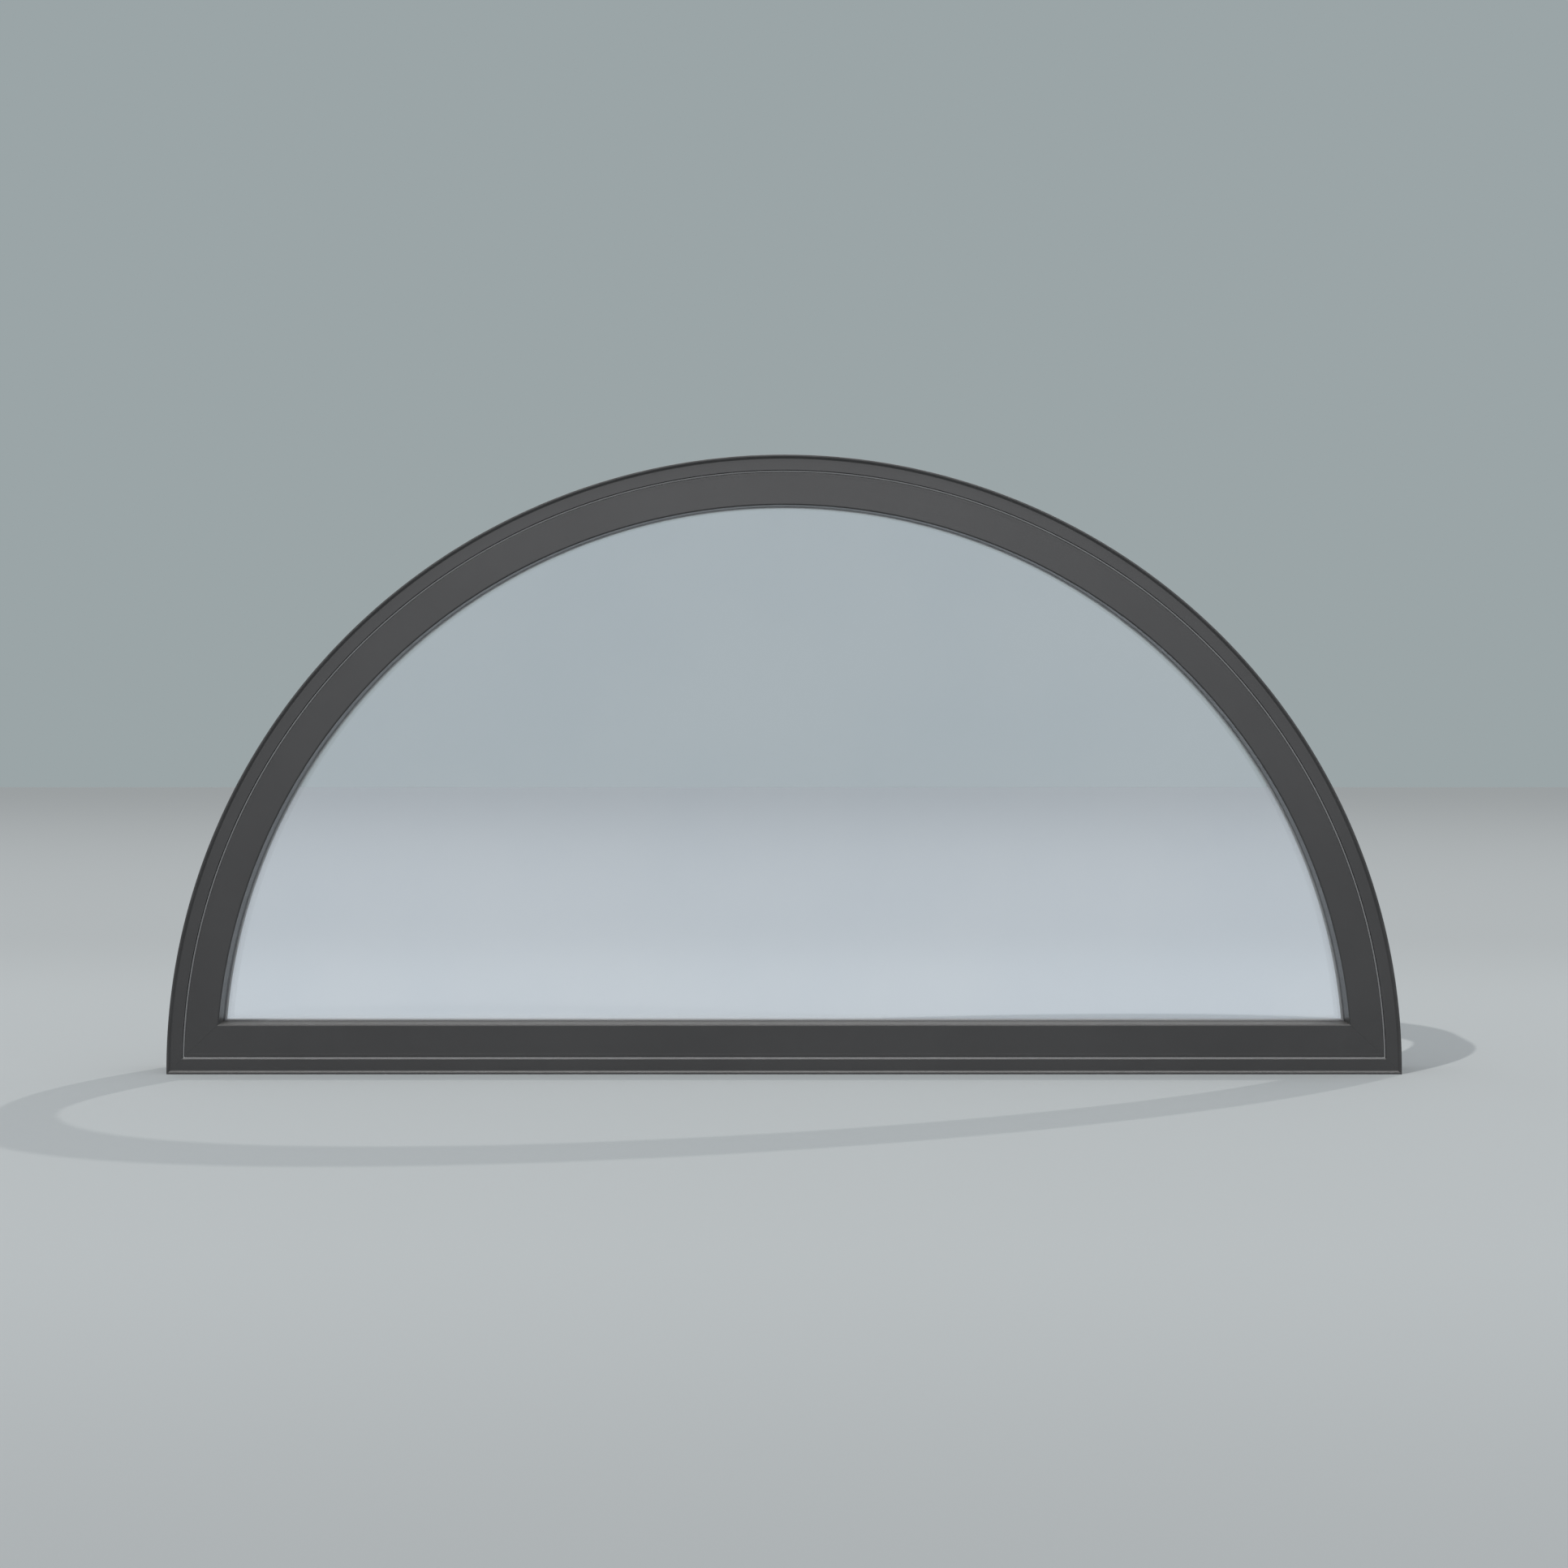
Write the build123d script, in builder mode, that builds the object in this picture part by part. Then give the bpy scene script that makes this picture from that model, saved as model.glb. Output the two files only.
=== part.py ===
"""Half-round fixed window: a thermally broken aluminium frame and sash round insulating glass.

X runs along the sill, Y through the wall with the outside at -Y and the inside at +Y, and Z is up.
Sizes are in millimetres, and the origin is the middle of the sill's underside.

Every long member is one extruded section. It is carried round the half circle for the arch, and
straight along the sill for the bottom, and the two meet at a mitre. A section is drawn in points
(inset, depth): the inset runs inward from the window's outer edge, and the depth runs back from
its outside face.
"""

import os
from math import sqrt

from build123d import *

# Overall size
radius = 762.0
overall_depth = 90.0

# Walls of the extrusions, and how far a chamber stays behind a face
wall = 1.8

# Frame
rim_width = 1.3
rim_run = 3.0
rim_drop = 2.0
frame_sight = 20.3
frame_bevel = 1.7
frame_leg_tip = 29.0
frame_leg_thickness = 3.0

# Sash, a little behind the frame's face
sash_joint = 1.2
sash_outer_edge = frame_sight + sash_joint
sash_face = 3.0
sash_sight = 60.7
sash_inner_bevel = 1.2
sash_pocket = 48.5
sash_back = 84.0

# Thermal breaks: two strips between an outer and an inner shell, behind a lip on the frame's edge
frame_strip_front = 34.5
frame_strip_back = 53.5
sash_strip_front = 36.5
sash_strip_back = 55.5
strip_thickness = 2.0
lip_width = 1.5
lip_reach = 1.5

# Insulating glass
pane_thickness = 4.0
cavity = 12.0
glass_front = 40.0
glazing_leg_back = 38.0
cavity_front = glass_front + pane_thickness
cavity_back = cavity_front + cavity
glass_back = cavity_back + pane_thickness
glass_edge = 52.5
spacer_outer = 56.0
spacer_inner = 62.66

# Gaskets, and the seal in the joint between frame and sash
joint_seal_front = 3.7
joint_seal_back = 7.0
gasket_outer = 56.0
outer_gasket_sight = 61.1
inner_gasket_thickness = 3.0
inner_gasket_sight = 60.0
seat_gasket_outer = 23.0
seat_gasket_inner = 28.0

# Glazing bead on the inside
bead_front = glass_back + inner_gasket_thickness
bead_sight = 59.0
bead_back = 76.0

# Setting blocks under the glass and packers under the sash, at the quarter points
block_offset = 350.0
block_length = 100.0
block_front = 38.5
block_back = 61.5
packer_length = 60.0
packer_front = 58.0
packer_back = 80.0

# How far a cutter runs past what it cuts, in millimetres, and the arch's run past the sill line
overrun = 20.0
overrun_angle = 1.0


def across_wall(depth):
    """Y of a depth measured back from the outside face."""
    return depth - overall_depth / 2


def wall_plane(depth):
    """Upright plane at a depth, with X along the sill and its normal to the outside."""
    return Plane.XZ.offset(-across_wall(depth))


def rectangle(inset_low, inset_high, depth_low, depth_high):
    """Corners of a plain rectangle in a section."""
    return [
        (inset_low, depth_low),
        (inset_high, depth_low),
        (inset_high, depth_high),
        (inset_low, depth_high),
    ]


def mitre_curve():
    """Ends and control point of the parabola whose points are as far from the arch as from the sill.

    Its height is (radius^2 - x^2) / (2 radius), and both members have the same inset on it, so
    every line of a section meets its fellow there. One quadratic Bezier curve is exactly that.
    """
    reach = radius + overrun
    foot = (radius**2 - reach**2) / (2 * radius)
    crown = (radius**2 + reach**2) / (2 * radius)
    return (-reach, foot), (0, crown), (reach, foot)


def arch_member(label, outlines, hollows=(), keep=Keep.BOTH):
    """A section carried round the half circle, above the mitres, or one side of it up to the crown."""
    left, crown, right = mitre_curve()
    with BuildPart() as member:
        with BuildSketch(Plane.XY.rotated((0, overrun_angle, 0))):
            for outline in outlines:
                with BuildLine():
                    Polyline(*[(radius - inset, across_wall(depth)) for inset, depth in outline], close=True)
                make_face()
            for hollow in hollows:
                with BuildLine():
                    Polyline(*[(radius - inset, across_wall(depth)) for inset, depth in hollow], close=True)
                make_face(mode=Mode.SUBTRACT)
        revolve(axis=Axis((0, 0, 0), (0, -1, 0)), revolution_arc=180 + 2 * overrun_angle)
        with BuildSketch(wall_plane(overall_depth + overrun)):
            with BuildLine():
                Bezier(left, crown, right)
                Line(right, left)
            make_face()
        extrude(amount=overall_depth + 2 * overrun, mode=Mode.SUBTRACT)
        if keep is not Keep.BOTH:
            split(bisect_by=Plane.YZ, keep=keep)
    member.part.label = label
    return member.part


def straight_member(label, outlines, hollows=()):
    """A section carried along the sill, between the mitres."""
    left, crown, right = mitre_curve()
    with BuildPart() as member:
        with BuildSketch(Plane.YZ):
            for outline in outlines:
                with BuildLine():
                    Polyline(*[(across_wall(depth), inset) for inset, depth in outline], close=True)
                make_face()
            for hollow in hollows:
                with BuildLine():
                    Polyline(*[(across_wall(depth), inset) for inset, depth in hollow], close=True)
                make_face(mode=Mode.SUBTRACT)
        extrude(amount=radius + overrun, both=True)
        with BuildSketch(wall_plane(overall_depth + overrun)):
            with BuildLine():
                Bezier(left, crown, right)
                Line(right, left)
            make_face()
        extrude(amount=overall_depth + 2 * overrun, mode=Mode.INTERSECT)
    member.part.label = label
    return member.part


def frame_outer_shell():
    """Outside of the frame: proud rim, flat face, bevelled inner edge and one chamber."""
    lip_back = frame_strip_front + lip_reach
    outline = [
        (0, 0),
        (rim_width, 0),
        (rim_width + rim_run, rim_drop),
        (frame_sight - frame_bevel, rim_drop),
        (frame_sight, rim_drop + frame_bevel),
        (frame_sight, frame_strip_front),
        (lip_width, frame_strip_front),
        (lip_width, lip_back),
        (0, lip_back),
    ]
    chamber = rectangle(wall, frame_sight - wall, rim_drop + wall, frame_strip_front - wall)
    return [outline], [chamber]


def frame_thermal_break():
    """Two strips that join the frame's shells. The outer one shows, behind the lips of both."""
    outer_strip = rectangle(lip_width, lip_width + strip_thickness, frame_strip_front, frame_strip_back)
    inner_strip = rectangle(frame_sight - strip_thickness, frame_sight, frame_strip_front, frame_strip_back)
    return [outer_strip, inner_strip], []


def frame_inner_shell():
    """Inside of the frame: one chamber, and the leg that laps over the sash."""
    lip_front = frame_strip_back - lip_reach
    leg_front = overall_depth - frame_leg_thickness
    outline = [
        (0, lip_front),
        (lip_width, lip_front),
        (lip_width, frame_strip_back),
        (frame_sight, frame_strip_back),
        (frame_sight, leg_front),
        (frame_leg_tip, leg_front),
        (frame_leg_tip, overall_depth),
        (0, overall_depth),
    ]
    chamber = rectangle(wall, frame_sight - wall, frame_strip_back + wall, overall_depth - wall)
    return [outline], [chamber]


def sash_outer_shell():
    """Outside of the sash: broad face, bevelled inner edge, and the leg that backs the glass."""
    outline = [
        (sash_outer_edge, sash_face),
        (sash_sight - sash_inner_bevel, sash_face),
        (sash_sight, sash_face + sash_inner_bevel),
        (sash_sight, glazing_leg_back),
        (sash_pocket, glazing_leg_back),
        (sash_pocket, sash_strip_front),
        (sash_outer_edge, sash_strip_front),
    ]
    chamber = rectangle(sash_outer_edge + wall, sash_sight - wall, sash_face + wall, sash_strip_front - wall)
    return [outline], [chamber]


def sash_thermal_break():
    """Two strips that join the sash's shells. The inner one is the floor of the glazing pocket."""
    outer_edge = sash_outer_edge + strip_thickness
    outer_strip = rectangle(sash_outer_edge, outer_edge, sash_strip_front, sash_strip_back)
    inner_strip = rectangle(sash_pocket - strip_thickness, sash_pocket, sash_strip_front, sash_strip_back)
    return [outer_strip, inner_strip], []


def sash_inner_shell():
    """Inside of the sash: one chamber beside the glazing pocket."""
    box = rectangle(sash_outer_edge, sash_pocket, sash_strip_back, sash_back)
    chamber = rectangle(
        sash_outer_edge + wall, sash_pocket - wall, sash_strip_back + wall, sash_back - wall
    )
    return [box], [chamber]


def joint_seal():
    """Grey seal that fills the front of the joint between frame and sash."""
    return [rectangle(frame_sight, sash_outer_edge, joint_seal_front, joint_seal_back)], []


def seat_gasket():
    """Seal between the back of the sash and the frame's leg."""
    leg_front = overall_depth - frame_leg_thickness
    return [rectangle(seat_gasket_outer, seat_gasket_inner, sash_back, leg_front)], []


def outer_gasket():
    """Seal between the sash's outside leg and the glass."""
    return [rectangle(gasket_outer, outer_gasket_sight, glazing_leg_back, glass_front)], []


def inner_gasket():
    """Seal between the glass and the glazing bead."""
    return [rectangle(gasket_outer, inner_gasket_sight, glass_back, bead_front)], []


def glazing_bead():
    """Hollow bead that holds the glass from inside, its face short of the sash's back."""
    outline = rectangle(sash_pocket, bead_sight, bead_front, bead_back)
    chamber = rectangle(sash_pocket + wall, bead_sight - wall, bead_front + wall, bead_back - wall)
    return [outline], [chamber]


def spacer():
    """Bar between the panes, its inner face in sight all round the glass."""
    return [rectangle(spacer_outer, spacer_inner, cavity_front, cavity_back)], []


def glass_corner(inset):
    """Half the width of the straight bottom edge of a half round with this inset."""
    return sqrt((radius - inset) ** 2 - inset**2)


def pane(label, front):
    """One sheet of glass, cut to a half round."""
    corner = glass_corner(glass_edge)
    with BuildPart() as sheet:
        with BuildSketch(wall_plane(front + pane_thickness)):
            with BuildLine():
                ThreePointArc((-corner, glass_edge), (0, radius - glass_edge), (corner, glass_edge))
                Line((corner, glass_edge), (-corner, glass_edge))
            make_face()
        extrude(amount=pane_thickness)
    sheet.part.label = label
    return sheet.part


def edge_sealant():
    """Ring of sealant outside the spacer, flush with the edges of both panes."""
    outer_corner = glass_corner(glass_edge)
    inner_corner = glass_corner(spacer_outer)
    with BuildPart() as ring:
        with BuildSketch(wall_plane(cavity_back)):
            with BuildLine():
                ThreePointArc((-outer_corner, glass_edge), (0, radius - glass_edge), (outer_corner, glass_edge))
                Line((outer_corner, glass_edge), (-outer_corner, glass_edge))
            make_face()
            with BuildLine():
                ThreePointArc(
                    (-inner_corner, spacer_outer), (0, radius - spacer_outer), (inner_corner, spacer_outer)
                )
                Line((inner_corner, spacer_outer), (-inner_corner, spacer_outer))
            make_face(mode=Mode.SUBTRACT)
        extrude(amount=cavity)
    ring.part.label = "edge_sealant"
    return ring.part


def support(label, middle, length, low, high, front, back):
    """Flat block that carries the glass or the sash, lying on what is below it."""
    with BuildPart() as block:
        with BuildSketch(Plane.XY.offset(low)):
            with Locations((middle, across_wall((front + back) / 2))):
                Rectangle(length, back - front)
        extrude(amount=high - low)
    block.part.label = label
    return block.part


def build_window():
    """All the pieces, from the wall inward."""
    members = [
        ("frame_outer_arch", "frame_outer_sill", frame_outer_shell()),
        ("frame_thermal_break_arch", "frame_thermal_break_sill", frame_thermal_break()),
        ("frame_inner_arch", "frame_inner_sill", frame_inner_shell()),
        ("sash_outer_arch", "sash_outer_rail", sash_outer_shell()),
        ("sash_thermal_break_arch", "sash_thermal_break_rail", sash_thermal_break()),
        ("sash_inner_arch", "sash_inner_rail", sash_inner_shell()),
        ("joint_seal_arch", "joint_seal_bottom", joint_seal()),
        ("seat_gasket_arch", "seat_gasket_bottom", seat_gasket()),
        ("outer_gasket_arch", "outer_gasket_bottom", outer_gasket()),
        ("inner_gasket_arch", "inner_gasket_bottom", inner_gasket()),
        ("spacer_arch", "spacer_bottom", spacer()),
    ]
    pieces = []
    for arch_label, straight_label, (outlines, hollows) in members:
        pieces.append(arch_member(arch_label, outlines, hollows))
        pieces.append(straight_member(straight_label, outlines, hollows))
    outlines, hollows = glazing_bead()
    pieces.append(straight_member("glazing_bead_bottom", outlines, hollows))
    for side, keep in (("left", Keep.BOTTOM), ("right", Keep.TOP)):
        pieces.append(arch_member(f"glazing_bead_arch_{side}", outlines, hollows, keep))
    pieces.append(pane("outer_pane", glass_front))
    pieces.append(pane("inner_pane", cavity_back))
    pieces.append(edge_sealant())
    for side, middle in (("left", -block_offset), ("right", block_offset)):
        pieces.append(
            support(f"setting_block_{side}", middle, block_length, sash_pocket, glass_edge, block_front, block_back)
        )
        pieces.append(
            support(
                f"sash_packer_{side}",
                middle,
                packer_length,
                frame_sight,
                sash_outer_edge,
                packer_front,
                packer_back,
            )
        )
    return pieces


os.makedirs("parts", exist_ok=True)
for piece in build_window():
    export_step(piece, f"parts/{piece.label}.step")
    print(piece.label, len(piece.solids()), round(piece.volume))
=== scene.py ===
"""Half-round fixed window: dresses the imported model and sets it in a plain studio.

X runs along the sill, Y through the wall with the outside at -Y, and Z is up. A member's section is
drawn in millimetres, in points (inset, depth): the inset runs inward from the window's outer edge,
and the depth runs back from its outside face. Everything else is in metres.
"""

import logging
import math
from abc import ABC, abstractmethod
from collections.abc import Iterable, Sequence
from dataclasses import dataclass
from enum import Enum
from functools import cache

import bpy
from mathutils import Matrix, Vector
from mathutils.geometry import tessellate_polygon


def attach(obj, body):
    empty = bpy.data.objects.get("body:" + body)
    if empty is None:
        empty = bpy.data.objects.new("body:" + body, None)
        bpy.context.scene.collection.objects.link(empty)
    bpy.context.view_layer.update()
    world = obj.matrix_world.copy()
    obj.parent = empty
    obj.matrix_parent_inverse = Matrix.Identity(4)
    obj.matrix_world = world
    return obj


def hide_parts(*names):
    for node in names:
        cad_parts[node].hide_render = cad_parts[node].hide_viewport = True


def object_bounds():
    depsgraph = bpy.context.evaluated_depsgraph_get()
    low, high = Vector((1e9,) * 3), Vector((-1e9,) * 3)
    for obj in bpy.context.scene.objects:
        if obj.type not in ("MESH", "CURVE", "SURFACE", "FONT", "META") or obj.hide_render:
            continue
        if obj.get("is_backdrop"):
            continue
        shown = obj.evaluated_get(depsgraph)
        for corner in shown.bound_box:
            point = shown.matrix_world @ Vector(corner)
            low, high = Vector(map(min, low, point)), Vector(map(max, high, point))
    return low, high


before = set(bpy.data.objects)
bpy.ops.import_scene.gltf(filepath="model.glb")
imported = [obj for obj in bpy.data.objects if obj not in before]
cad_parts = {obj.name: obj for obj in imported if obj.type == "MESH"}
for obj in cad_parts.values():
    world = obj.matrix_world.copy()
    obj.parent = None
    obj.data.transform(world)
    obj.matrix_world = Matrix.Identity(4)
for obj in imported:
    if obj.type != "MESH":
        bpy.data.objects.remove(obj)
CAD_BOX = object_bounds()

log = logging.getLogger("window")

MM = 0.001
BODY = "root"

# The window's radius and depth, and the wall of its extrusions, in millimetres
RADIUS = 762.0
DEPTH = 90.0
WALL = 1.8

# Steps on a rounded corner, and the most of a short side that it takes
CORNER_STEPS = 3
CORNER_SHARE = 0.45

# Fine bevel round the flat ends of a member, in millimetres
HAIRLINE = 0.1

# Rounding of the thermal break strips, in millimetres
STRIP_CORNER = 0.2

# Mesh attribute that marks the rounded outer corners
EDGE_ATTRIBUTE = "edge"

Pair = tuple[float, float]
Place = tuple[float, float, float]
Colour = tuple[float, float, float]
WHOLE: Pair = (0.0, 1.0)


# Sections


@dataclass(frozen=True)
class Spot:
    """One point of a section's outline.

    Attributes:
        inset: Distance inward from the window's outer edge.
        depth: Distance back from the outside face.
        facing: Unit vector (inset, depth) that points out of the material.
        edge: 1 on the rounding of an outer corner, otherwise 0.
    """

    inset: float
    depth: float
    facing: Pair
    edge: float

    def shrunk(self, by: float) -> "Spot":
        """The same point, moved into the material."""
        inset = self.inset - self.facing[0] * by
        depth = self.depth - self.facing[1] * by
        return Spot(inset, depth, self.facing, self.edge)


def signed_area(corners: Sequence[Pair]) -> float:
    """Twice the area of a closed outline, positive where it runs anticlockwise."""
    following = [*corners[1:], corners[0]]
    return sum(a[0] * b[1] - b[0] * a[1] for a, b in zip(corners, following))


def rounded(corners: Sequence[Pair], radius: float) -> list[Spot]:
    """Rounds the corners of a closed outline.

    Args:
        corners: The outline's corners, with the material on the left of each side.
        radius: Radius of the corners. Short sides get a smaller one.

    Returns:
        The outline's points, an arc of them at each corner.
    """
    spots = []
    for number, corner in enumerate(corners):
        here = Vector(corner)
        back = Vector(corners[number - 1]) - here
        ahead = Vector(corners[(number + 1) % len(corners)]) - here
        half = back.angle(ahead) / 2
        reach = min(radius / math.tan(half), CORNER_SHARE * min(back.length, ahead.length))
        arc_radius = reach * math.tan(half)
        back.normalize()
        ahead.normalize()
        centre = here + (back + ahead).normalized() * arc_radius / math.sin(half)
        turn = math.atan2(ahead.x * back.y - ahead.y * back.x, -back.dot(ahead))
        side = math.copysign(arc_radius, turn)
        for step in range(CORNER_STEPS + 1):
            facing = Matrix.Rotation(turn * step / CORNER_STEPS, 2) @ Vector((-back.y, back.x))
            place = centre + facing * side
            on_edge = turn > 0 and 0 < step < CORNER_STEPS
            spots.append(Spot(place.x, place.y, tuple(facing), float(on_edge)))
    return spots


def rectangle(inset_low: float, inset_high: float, depth_low: float, depth_high: float) -> tuple[Pair, ...]:
    """Corners of a plain rectangle in a section."""
    return (
        (inset_low, depth_low),
        (inset_high, depth_low),
        (inset_high, depth_high),
        (inset_low, depth_high),
    )


def chamber(inset_low: float, inset_high: float, depth_low: float, depth_high: float) -> tuple[Pair, ...]:
    """Corners of a hollow that leaves a wall's thickness inside a rectangle."""
    return rectangle(inset_low + WALL, inset_high - WALL, depth_low + WALL, depth_high - WALL)


@dataclass(frozen=True)
class Section:
    """One closed section with its chambers.

    Attributes:
        outline: Corners of the outside.
        chambers: Corners of each hollow.
        corner: Radius of all its corners. Short sides get a smaller one.
    """

    outline: tuple[Pair, ...]
    chambers: tuple[tuple[Pair, ...], ...] = ()
    corner: float = 0.4

    def loops(self) -> list[list[Spot]]:
        """The rounded outline, then each chamber, all with the material on their left."""
        outline = self.outline if signed_area(self.outline) > 0 else self.outline[::-1]
        chambers = [c if signed_area(c) < 0 else c[::-1] for c in self.chambers]
        return [rounded(outline, self.corner), *(rounded(c, self.corner) for c in chambers)]


def strip_pair(
    near_edge: float, far_edge: float, thickness: float, front: float, back: float
) -> tuple[Section, Section]:
    """Two thermal break strips that join an outer and an inner shell.

    Args:
        near_edge: Inset of the outer strip's outer side.
        far_edge: Inset of the inner strip's inner side.
        thickness: Thickness of both.
        front: Depth of their front ends.
        back: Depth of their back ends.

    Returns:
        Their sections.
    """
    near = rectangle(near_edge, near_edge + thickness, front, back)
    far = rectangle(far_edge - thickness, far_edge, front, back)
    return Section(near, corner=STRIP_CORNER), Section(far, corner=STRIP_CORNER)


# The lines that sections follow


@dataclass(frozen=True)
class Run(ABC):
    """The line that a member's section follows, from one mitre to the other.

    Attributes:
        steps: Number of stretches that the line is divided into.
        low: Share of the way from mitre to mitre where the member starts.
        high: Share of the way where it ends.
    """

    steps: int
    low: float = 0.0
    high: float = 1.0

    @abstractmethod
    def place(self, inset: float, depth: float, share: float) -> Vector:
        """Point at a share of the way, in metres."""

    @abstractmethod
    def inward(self, inset: float, share: float) -> Vector:
        """Unit vector in which the inset grows."""

    @abstractmethod
    def length(self, inset: float) -> float:
        """Length from mitre to mitre, in millimetres."""

    def facing(self, spot: Spot, share: float) -> Vector:
        """Unit vector out of the material at a point of the section."""
        return self.inward(spot.inset, share) * spot.facing[0] + Vector((0, spot.facing[1], 0))

    def stations(self, inset: float) -> list[float]:
        """Shares of the way at which the section stands, with a hairline of space at both ends."""
        gap = HAIRLINE / self.length(inset)
        between = [self.low + (self.high - self.low) * n / self.steps for n in range(1, self.steps)]
        return [self.low, self.low + gap, *between, self.high - gap, self.high]


@dataclass(frozen=True)
class ArchRun(Run):
    """The half circle, from the right springing over the crown to the left one."""

    steps: int = 180

    def angle(self, inset: float, share: float) -> float:
        """Angle above the sill line, between the two mitres."""
        mitre = math.asin(inset / (RADIUS - inset))
        return mitre + share * (math.pi - 2 * mitre)

    def place(self, inset: float, depth: float, share: float) -> Vector:
        """Point at a share of the way, in metres."""
        angle = self.angle(inset, share)
        reach = RADIUS - inset
        return Vector((reach * math.cos(angle), depth - DEPTH / 2, reach * math.sin(angle))) * MM

    def inward(self, inset: float, share: float) -> Vector:
        """Unit vector towards the middle of the half circle."""
        angle = self.angle(inset, share)
        return Vector((-math.cos(angle), 0, -math.sin(angle)))

    def length(self, inset: float) -> float:
        """Length of the arc from mitre to mitre, in millimetres."""
        return (RADIUS - inset) * (self.angle(inset, 1) - self.angle(inset, 0))


@dataclass(frozen=True)
class SillRun(Run):
    """The straight bottom, from the left mitre to the right one."""

    steps: int = 24

    def place(self, inset: float, depth: float, share: float) -> Vector:
        """Point at a share of the way, in metres."""
        along = self.length(inset) * (share - 0.5)
        return Vector((along, depth - DEPTH / 2, inset)) * MM

    def inward(self, inset: float, share: float) -> Vector:
        """Unit vector upwards."""
        return Vector((0, 0, 1))

    def length(self, inset: float) -> float:
        """Length from mitre to mitre, in millimetres."""
        return 2 * math.sqrt((RADIUS - inset) ** 2 - inset**2)


# Meshes


class MeshMaker:
    """Collects the corners, faces and normals of one piece."""

    def __init__(self) -> None:
        """Starts with nothing."""
        self.points: list[Vector] = []
        self.edges: list[float] = []
        self.faces: list[tuple[int, ...]] = []
        self.normals: list[list[Vector]] = []

    def point(self, place: Vector, edge: float = 0.0) -> int:
        """Adds a corner and gives its number."""
        self.points.append(place)
        self.edges.append(edge)
        return len(self.points) - 1

    def face(self, corners: Sequence[int], normals: Sequence[Vector] = ()) -> None:
        """Adds a face, smooth where its corners' normals are given and flat otherwise."""
        self.faces.append(tuple(corners))
        self.normals.append(list(normals))

    def sweep(self, section: Section, run: Run) -> None:
        """Carries a section along a run.

        Args:
            section: The closed section with its chambers.
            run: The line that it follows.
        """
        loops = section.loops()
        caps = [self.skin(loop, run) for loop in loops]
        flat = [[Vector((s.inset, s.depth, 0)) for s in loop] for loop in loops]
        spots = [p for loop in flat for p in loop]
        for end, flip in ((0, False), (1, True)):
            numbers = [n for cap in caps for n in cap[end]]
            for a, b, c in tessellate_polygon(flat):
                anticlockwise = (spots[b] - spots[a]).cross(spots[c] - spots[a]).z > 0
                corners = (a, b, c) if anticlockwise != flip else (a, c, b)
                self.face([numbers[n] for n in corners])

    def skin(self, loop: Sequence[Spot], run: Run) -> tuple[list[int], list[int]]:
        """Lays the long faces of one loop of a section, with the fine bevel at both ends.

        Args:
            loop: The loop's points.
            run: The line that the section follows.

        Returns:
            The numbers of the corners at the start and at the end.
        """
        rows, ways = [], []
        for spot in loop:
            shares = run.stations(spot.inset)
            capped = spot.shrunk(HAIRLINE)
            row = [self.point(run.place(spot.inset, spot.depth, s), spot.edge) for s in shares[1:-1]]
            first = self.point(run.place(capped.inset, capped.depth, run.low), spot.edge)
            last = self.point(run.place(capped.inset, capped.depth, run.high), spot.edge)
            rows.append([first, *row, last])
            ways.append([run.facing(spot, s) for s in shares])
        for number, row in enumerate(rows):
            beside = rows[(number + 1) % len(rows)]
            way, way_beside = ways[number], ways[(number + 1) % len(rows)]
            for n in range(len(row) - 1):
                corners = (row[n], row[n + 1], beside[n + 1], beside[n])
                if 0 < n < len(row) - 2:
                    self.face(corners, (way[n], way[n + 1], way_beside[n + 1], way_beside[n]))
                else:
                    self.face(corners)
        return [row[0] for row in rows], [row[-1] for row in rows]

    def build(self, name: str) -> bpy.types.Object:
        """Makes the object, at the origin of the frame.

        Args:
            name: The piece's name.

        Returns:
            The new object, linked to the scene.
        """
        mesh = bpy.data.meshes.new(name)
        mesh.from_pydata(self.points, [], self.faces)
        smooth = [bool(normals) for normals in self.normals]
        mesh.polygons.foreach_set("use_smooth", smooth)
        edge = mesh.attributes.new(EDGE_ATTRIBUTE, "FLOAT", "POINT")
        edge.data.foreach_set("value", self.edges)
        unset = Vector((0, 0, 0))
        loops = []
        for face, normals in zip(self.faces, self.normals):
            loops.extend(normals or [unset] * len(face))
        mesh.normals_split_custom_set(loops)
        mesh.update()
        piece = bpy.data.objects.new(name, mesh)
        bpy.context.scene.collection.objects.link(piece)
        return piece


# Shader nodes


# Numbers of a Mix node's two colour inputs, and of its colour output
MIX_INPUTS = (6, 7)
MIX_OUTPUT = 2


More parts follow.
